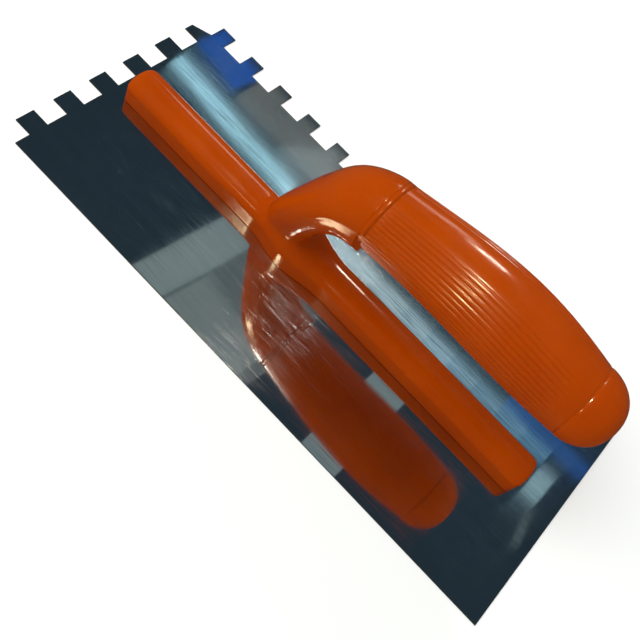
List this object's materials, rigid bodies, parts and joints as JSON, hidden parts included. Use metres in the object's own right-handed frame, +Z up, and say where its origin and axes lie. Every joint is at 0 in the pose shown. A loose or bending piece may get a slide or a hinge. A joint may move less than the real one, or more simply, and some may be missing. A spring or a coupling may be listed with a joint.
{
  "type": "notched trowel",
  "caption": "Notched trowel: thin steel blade with square notches on one end and one long side, open-ended orange plastic handle with a ribbed grip.",
  "frame": {"origin": "centre of the blade's underside", "axes": "+X along the blade from its notched end to its plain end, +Y to the notched long side, +Z up from the blade to the grip"},
  "size_m": [0.28, 0.125, 0.0864],
  "materials": {
    "blade_steel": "polished spring steel with fine grinding lines along its length",
    "orange_plastic": "glossy, slightly translucent moulded plastic",
    "orange_grip": "glossy moulded plastic with lengthwise ribs",
    "screw_steel": "bright zinc-plated steel"
  },
  "bodies": {
    "root": {"blade": "blade_steel", "handle_frame": "orange_plastic", "grip_sleeve": "orange_grip", "end_cap": "orange_plastic", "screw_1": "screw_steel", "screw_2": "screw_steel", "screw_3": "screw_steel", "screw_4": "screw_steel", "screw_5": "screw_steel", "screw_6": "screw_steel", "screw_7": "screw_steel"}
  },
  "joints": []
}
